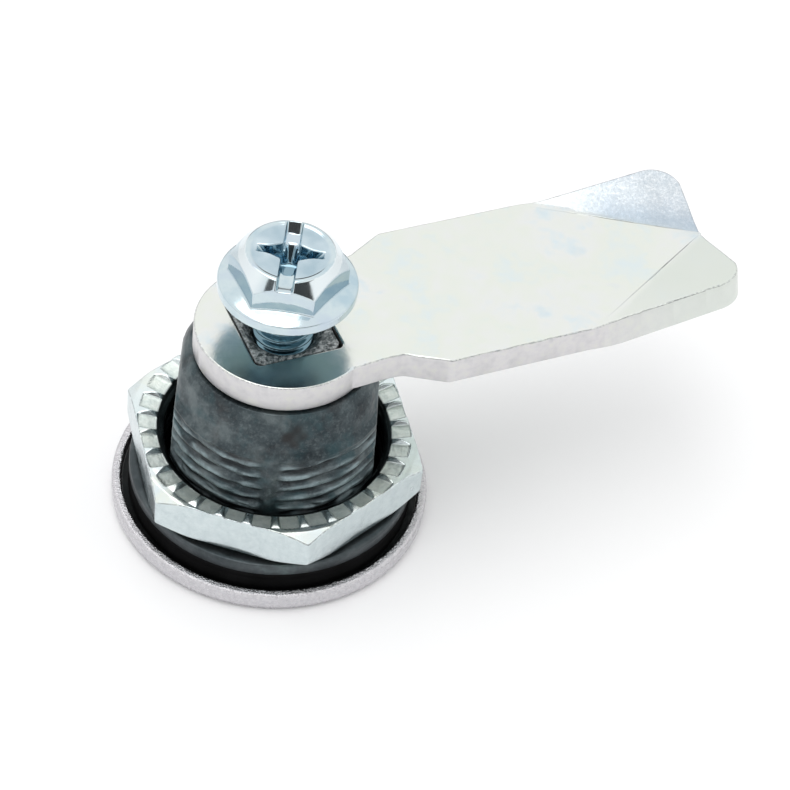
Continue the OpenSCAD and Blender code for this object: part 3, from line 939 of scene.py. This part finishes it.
def rotor_finish():
    m, t, b = shader("rotor_zinc_casting")
    b.inputs["Metallic"].default_value = 0.8
    grain = noise(t, 2400, 5, 0.7)
    grains = ramp(t, grain, [
        (0.42, (0.08, 0.09, 0.09)), (0.51, (0.42, 0.45, 0.45)), (0.62, (0.92, 0.94, 0.93))])
    link(t, mix(t, 0.75, raw_casting(t), grains), b.inputs["Base Color"])
    link(t, uneven(t, grain, 0.35, 0.6), b.inputs["Roughness"])
    bump(t, b, (noise(t, 1900, 5, 0.75), 0.00014), (noise(t, 5000, 3, 0.6), 0.00002))
    return m


def washer_finish():
    m, t, b = shader("washer_dark_steel")
    b.inputs["Metallic"].default_value = 0.85
    tone = ramp(t, noise(t, 260, 6, 0.7), [
        (0.32, (0.045, 0.055, 0.060)), (0.55, (0.085, 0.098, 0.104)), (0.72, (0.13, 0.17, 0.175))])
    link(t, tone, b.inputs["Base Color"])
    link(t, uneven(t, noise(t, 700, 4), 0.28, 0.48), b.inputs["Roughness"])
    bump(t, b, (noise(t, 700, 4), 0.00002), (noise(t, 3500, 3), 0.000006))
    return m


def rubber_finish():
    m, t, b = shader("black_rubber")
    tone = ramp(t, noise(t, 300, 3), [(0.3, (0.003, 0.003, 0.003)), (0.7, (0.007, 0.007, 0.0075))])
    link(t, tone, b.inputs["Base Color"])
    link(t, uneven(t, noise(t, 900, 4), 0.55, 0.8), b.inputs["Roughness"])
    b.inputs["Specular IOR Level"].default_value = 0.08
    bump(t, b, (noise(t, 2500, 3), 0.000008))
    return m


def spring_finish():
    m, t, b = shader("spring_steel")
    b.inputs["Metallic"].default_value = 1.0
    tone = ramp(t, noise(t, 400, 4), [(0.35, (0.36, 0.37, 0.39)), (0.65, (0.48, 0.49, 0.51))])
    link(t, tone, b.inputs["Base Color"])
    link(t, uneven(t, noise(t, 900, 3), 0.2, 0.36), b.inputs["Roughness"])
    bump(t, b, (noise(t, 2500, 3, 0.6, (1, 1, 6)), 0.000004))
    return m


rubber, spring = rubber_finish(), spring_finish()
finishes = {"housing": housing_finish(), "gasket": rubber, "washer": washer_finish(), "nut": nut_finish(),
            "screw": screw_finish(), "cam": cam_finish(), "rotor": rotor_finish()}
for key, piece in pieces.items():
    piece.data.materials.clear()
    piece.data.materials.append(finishes[key])
carried = {"rotor_oring": rubber, "disc_spring": spring, "thrust_washer": spring, "snap_ring": spring}
for node_name, finish in carried.items():
    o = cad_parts[node_name]
    o.data.materials.clear()
    o.data.materials.append(finish)


# ---------- studio ----------

def area(name, at, target, size, power):
    """A soft light that the camera doesn't see."""
    data = bpy.data.lights.new(name, "AREA")
    data.shape = "RECTANGLE"
    data.size, data.size_y = size
    data.energy = power
    o = bpy.data.objects.new(name, data)
    scene.collection.objects.link(o)
    o.location = at
    o.rotation_mode = "QUATERNION"
    o.rotation_quaternion = (Vector(target) - Vector(at)).to_track_quat("-Z", "Y")
    o.visible_camera = False


def studio_floor():
    bm = bmesh.new()
    bmesh.ops.create_grid(bm, x_segments=8, y_segments=8, size=2.5)
    data = bpy.data.meshes.new("floor")
    bm.to_mesh(data)
    bm.free()
    o = bpy.data.objects.new("floor", data)
    scene.collection.objects.link(o)
    o.location.z = cad_low.z
    m, _, b = shader("floor_white")
    b.inputs["Base Color"].default_value = (0.96, 0.96, 0.965, 1)
    b.inputs["Roughness"].default_value = 0.8
    b.inputs["Specular IOR Level"].default_value = 0.15
    data.materials.append(m)


tent_level = 1.08
gap_level = 0.06
backdrop_level = 1.1


def studio_world():
    """A white tent, a little dimmer low down, with dark gaps for the camera and below the back sheet."""
    world = bpy.data.worlds.new("studio")
    scene.world = world
    world.use_nodes = True
    t = world.node_tree
    back = t.nodes["Background"]
    way = t.nodes.new("ShaderNodeTexCoord").outputs["Generated"]

    def patch(direction, inner, outer, shade):
        """A round patch of a shade within inner degrees of a direction; 1 beyond outer degrees."""
        dot = t.nodes.new("ShaderNodeVectorMath")
        dot.operation = "DOT_PRODUCT"
        link(t, way, dot.inputs[0])
        dot.inputs[1].default_value = Vector(direction).normalized()
        from_cos, to_cos = math.cos(math.radians(outer)), math.cos(math.radians(inner))
        return spread(t, dot.outputs["Value"], from_cos, to_cos, 1, shade)

    split = t.nodes.new("ShaderNodeSeparateXYZ")
    link(t, way, split.inputs[0])

    def window(*edges):
        """1 inside a box of directions; each edge is (axis, where it is 0, where it is 1)."""
        inside = 1.0
        for axis, zero, one in edges:
            inside = times(t, spread(t, split.outputs[axis], zero, one, 0, 1), inside)
        return inside

    # what the screw's bevels mirror: something dark to the left of the camera, and the camera's rig
    hand = patch((-0.468, -0.5512, 0.6906), 4.5, 7, 0.12)
    rig = window(("X", -0.28, -0.24), ("X", 0.64, 0.60), ("Z", 0.58, 0.61), ("Z", 0.83, 0.78),
                 ("Y", -0.1, -0.2))
    gap = window(("Y", 0.84, 0.92), ("Z", 0.24, 0.17))
    level = times(t, hand, spread(t, maths(t, "MAXIMUM", rig, gap), 0, 1, 1.0, gap_level))
    low_down = spread(t, split.outputs["Z"], 0.05, 0.55, 0.88, 1)
    level = times(t, level, times(t, low_down, tent_level))
    seen = t.nodes.new("ShaderNodeLightPath").outputs["Is Camera Ray"]
    link(t, maths(t, "MAXIMUM", level, times(t, seen, backdrop_level)), back.inputs["Strength"])
    back.inputs["Color"].default_value = (1, 1, 1, 1)


studio_floor()
studio_world()
area("softbox", at=(-0.07, 0, 0.47), target=(-0.05, 0, 0), size=(0.50, 0.24), power=0.50)
scene.view_settings.view_transform = "Standard"

camera = bpy.data.objects.new("camera", bpy.data.cameras.new("camera"))
scene.collection.objects.link(camera)
# the place, aim, roll and lens fitted to the photograph
camera_at = Vector((0, -0.18215, 0.2014))
camera_aim = Vector((0.01187, 0.0054, 0.010))
camera_roll = Quaternion((0, 0, 1), math.radians(7.78))
camera.location = camera_at
camera.rotation_mode = "QUATERNION"
camera.rotation_quaternion = (camera_aim - camera_at).to_track_quat("-Z", "Y") @ camera_roll
camera.data.lens = 120.3
camera.data.sensor_width = 36
camera.data.clip_start, camera.data.clip_end = 0.01, 10
scene.camera = camera
